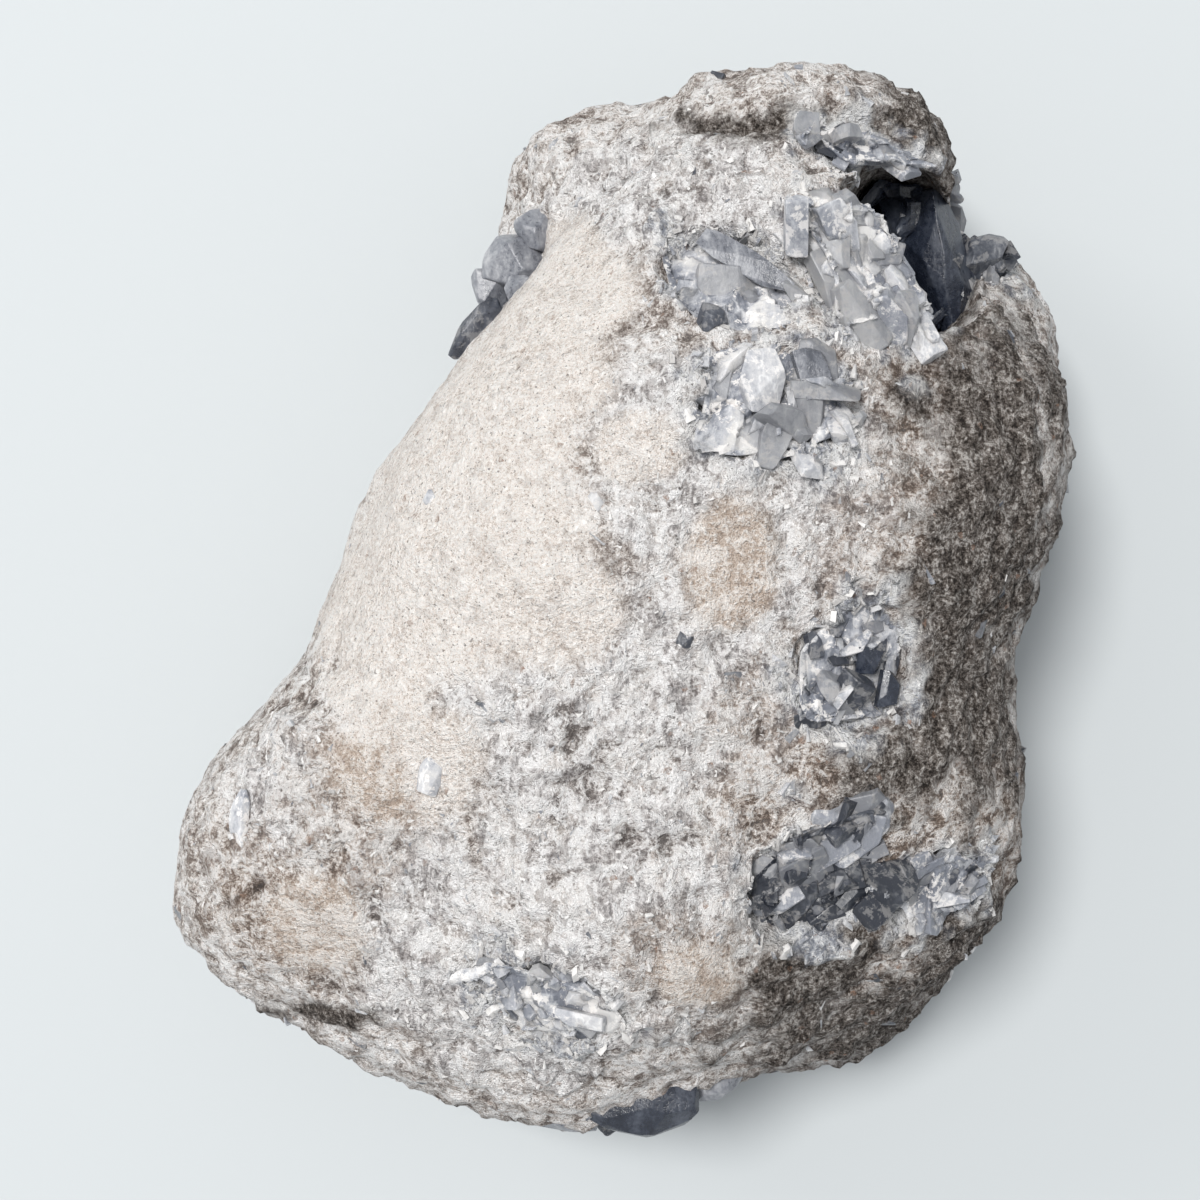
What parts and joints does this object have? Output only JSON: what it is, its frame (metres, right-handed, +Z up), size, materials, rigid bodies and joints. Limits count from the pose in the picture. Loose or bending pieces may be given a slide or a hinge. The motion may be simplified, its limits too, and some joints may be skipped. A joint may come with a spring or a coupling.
{
  "type": "celestite geode",
  "caption": "Half of a celestite nodule lying on its broken rim, chalky host rock with blue-grey crystals in the hollow and in windows on its skin.",
  "frame": {"origin": "bottom centre of the bounding box, on the plane that the broken rim rests on", "axes": "+Z up from the resting plane to the crown of the dome, +Y towards the narrow end with the ledge and the gap, +X towards the steep side"},
  "size_m": [0.1362, 0.162, 0.0863],
  "materials": {
    "host": "chalky, gritty limestone with white sparry patches",
    "celestite": "clear to milky blue-grey crystal"
  },
  "bodies": {
    "root": {"host_rock": "host", "cavity_crust": "celestite", "crystals_upper_window": "celestite", "crystals_shoulder": "celestite", "crystals_middle_window": "celestite", "crystals_right_window": "celestite", "crystals_lower_right_window": "celestite", "crystals_right_foot": "celestite", "crystals_bottom_window": "celestite", "crystals_bottom_edge": "celestite", "crystals_left_edge": "celestite", "crystals_top_block": "celestite", "crystals_block_end": "celestite", "crystals_right_rim": "celestite"}
  },
  "joints": []
}
